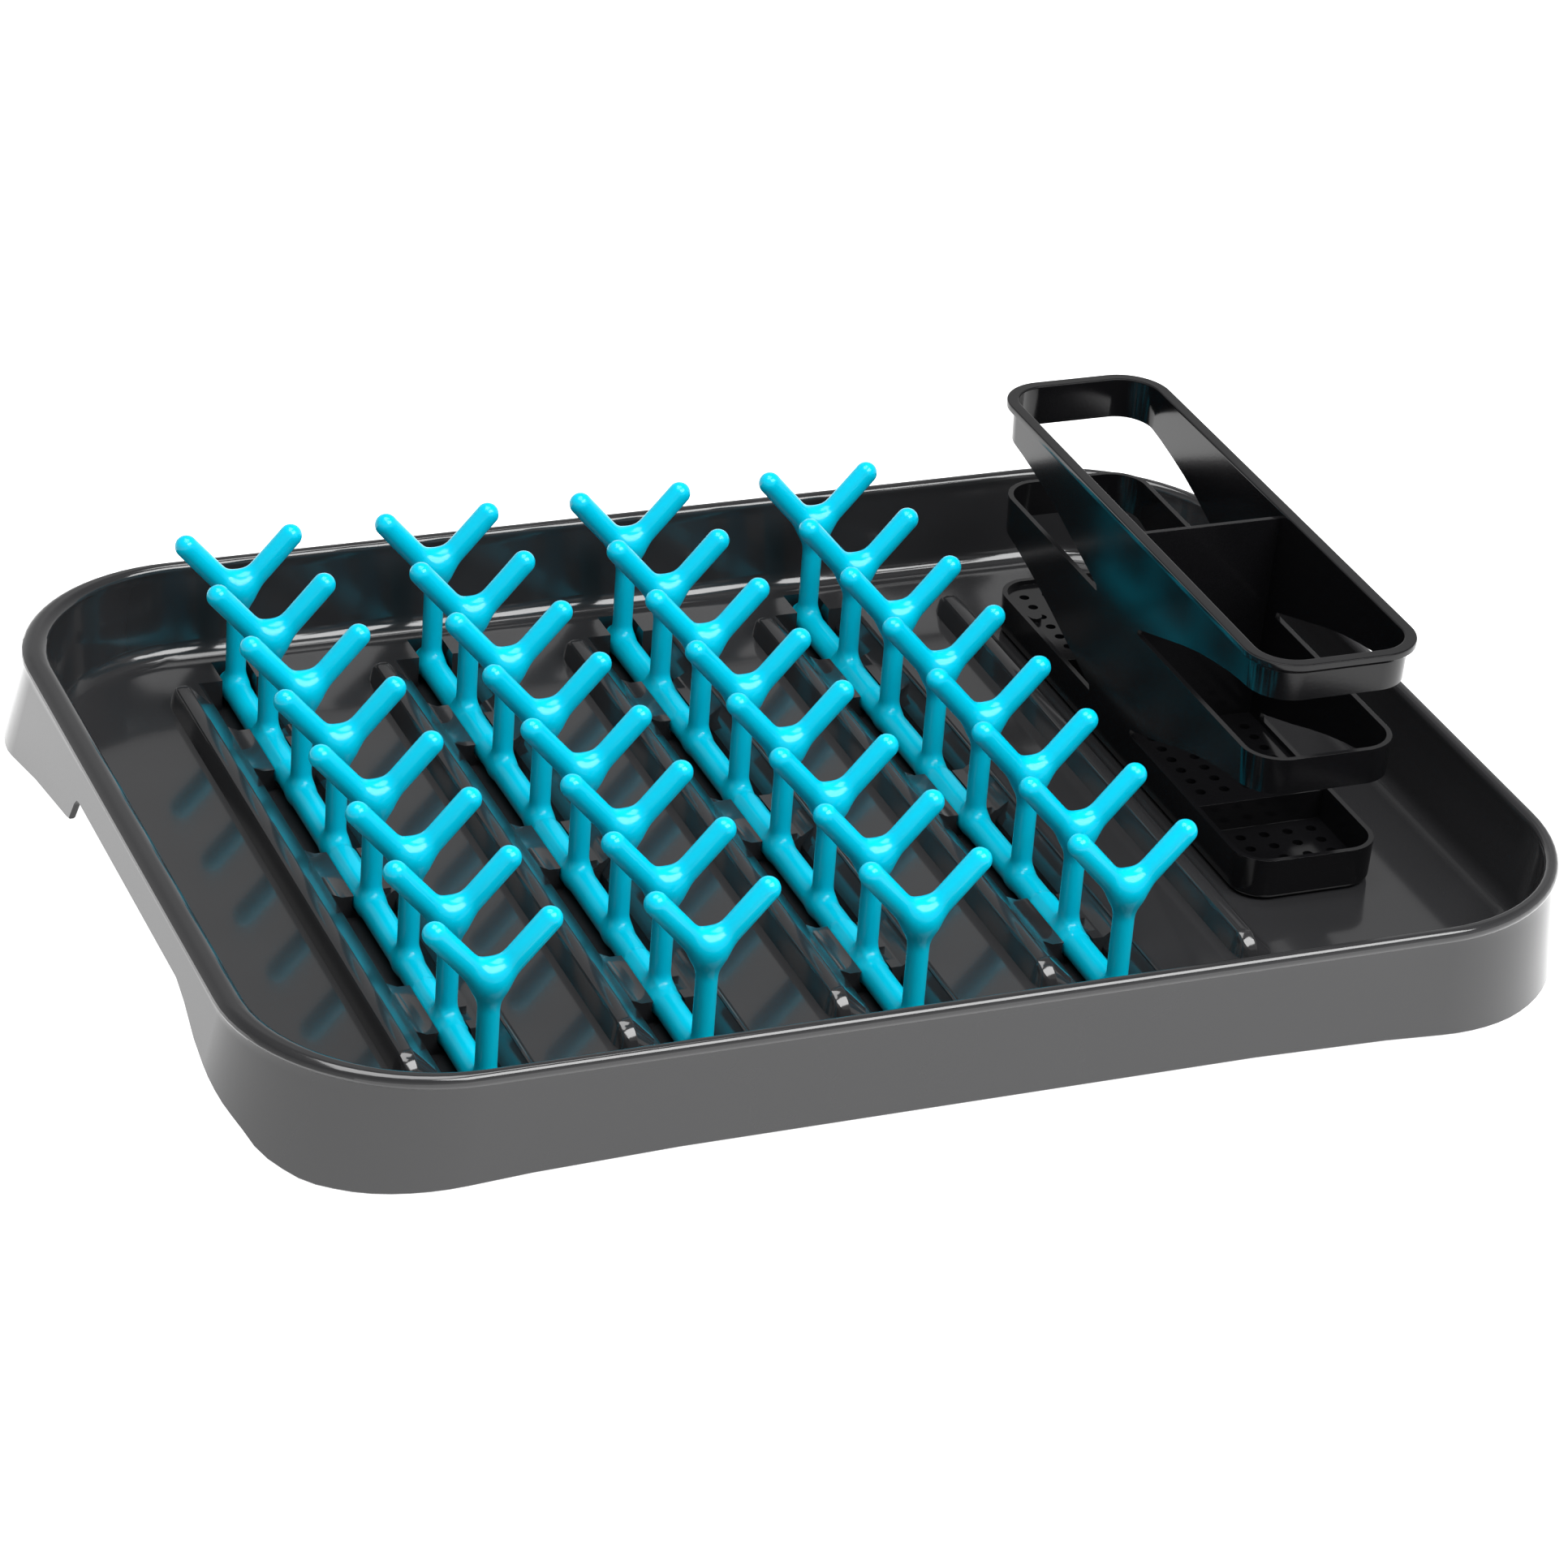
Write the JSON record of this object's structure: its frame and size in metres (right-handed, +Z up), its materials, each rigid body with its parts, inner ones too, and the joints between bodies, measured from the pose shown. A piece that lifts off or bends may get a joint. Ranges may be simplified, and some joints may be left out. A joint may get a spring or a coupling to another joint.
{
  "type": "dish drying rack",
  "caption": "Low moulded drip tray with rounded corners, tilting rows of Y-shaped plate prongs on sunken spines, and a slotted lift-out cutlery caddy along one end.",
  "frame": {"origin": "on the table, under the middle of the whole part's box", "axes": "+X along the tray's long side from the hand-hold end to the caddy end, +Y from the front edge to the back edge, +Z up"},
  "size_m": [0.4793, 0.366, 0.1109],
  "materials": {
    "tray_plastic": "charcoal grey moulded plastic, glossy",
    "rack_plastic": "bright cyan moulded plastic, satin gloss",
    "caddy_plastic": "near-black moulded plastic, glossy",
    "pad_rubber": "black rubber, matte"
  },
  "bodies": {
    "tray": {"tray": "tray_plastic", "foot_pad_front_left": "pad_rubber", "foot_pad_front_right": "pad_rubber", "foot_pad_back_left": "pad_rubber", "foot_pad_back_right": "pad_rubber"},
    "rack_1": {"rack_1": "rack_plastic"},
    "rack_2": {"rack_2": "rack_plastic"},
    "rack_3": {"rack_3": "rack_plastic"},
    "rack_4": {"rack_4": "rack_plastic"},
    "cutlery_caddy": {"cutlery_caddy": "caddy_plastic"}
  },
  "joints": [
    {"name": "rack_1_tilt", "type": "hinge", "parent": "tray", "child": "rack_1", "pos_m": [-0.1455, 0.01275, 0.0093], "axis": [0, 1, 0], "range_deg": [0, 45]},
    {"name": "rack_2_tilt", "type": "hinge", "parent": "tray", "child": "rack_2", "pos_m": [-0.071, 0.01275, 0.0093], "axis": [0, 1, 0], "range_deg": [0, 45]},
    {"name": "rack_3_tilt", "type": "hinge", "parent": "tray", "child": "rack_3", "pos_m": [0.0035, 0.01275, 0.0093], "axis": [0, 1, 0], "range_deg": [0, 45]},
    {"name": "rack_4_tilt", "type": "hinge", "parent": "tray", "child": "rack_4", "pos_m": [0.078, 0.01275, 0.0093], "axis": [0, 1, 0], "range_deg": [0, 45]},
    {"name": "caddy_lift", "type": "slide", "parent": "tray", "child": "cutlery_caddy", "axis": [0, 0, 1], "range_m": [0, 0.065]}
  ]
}
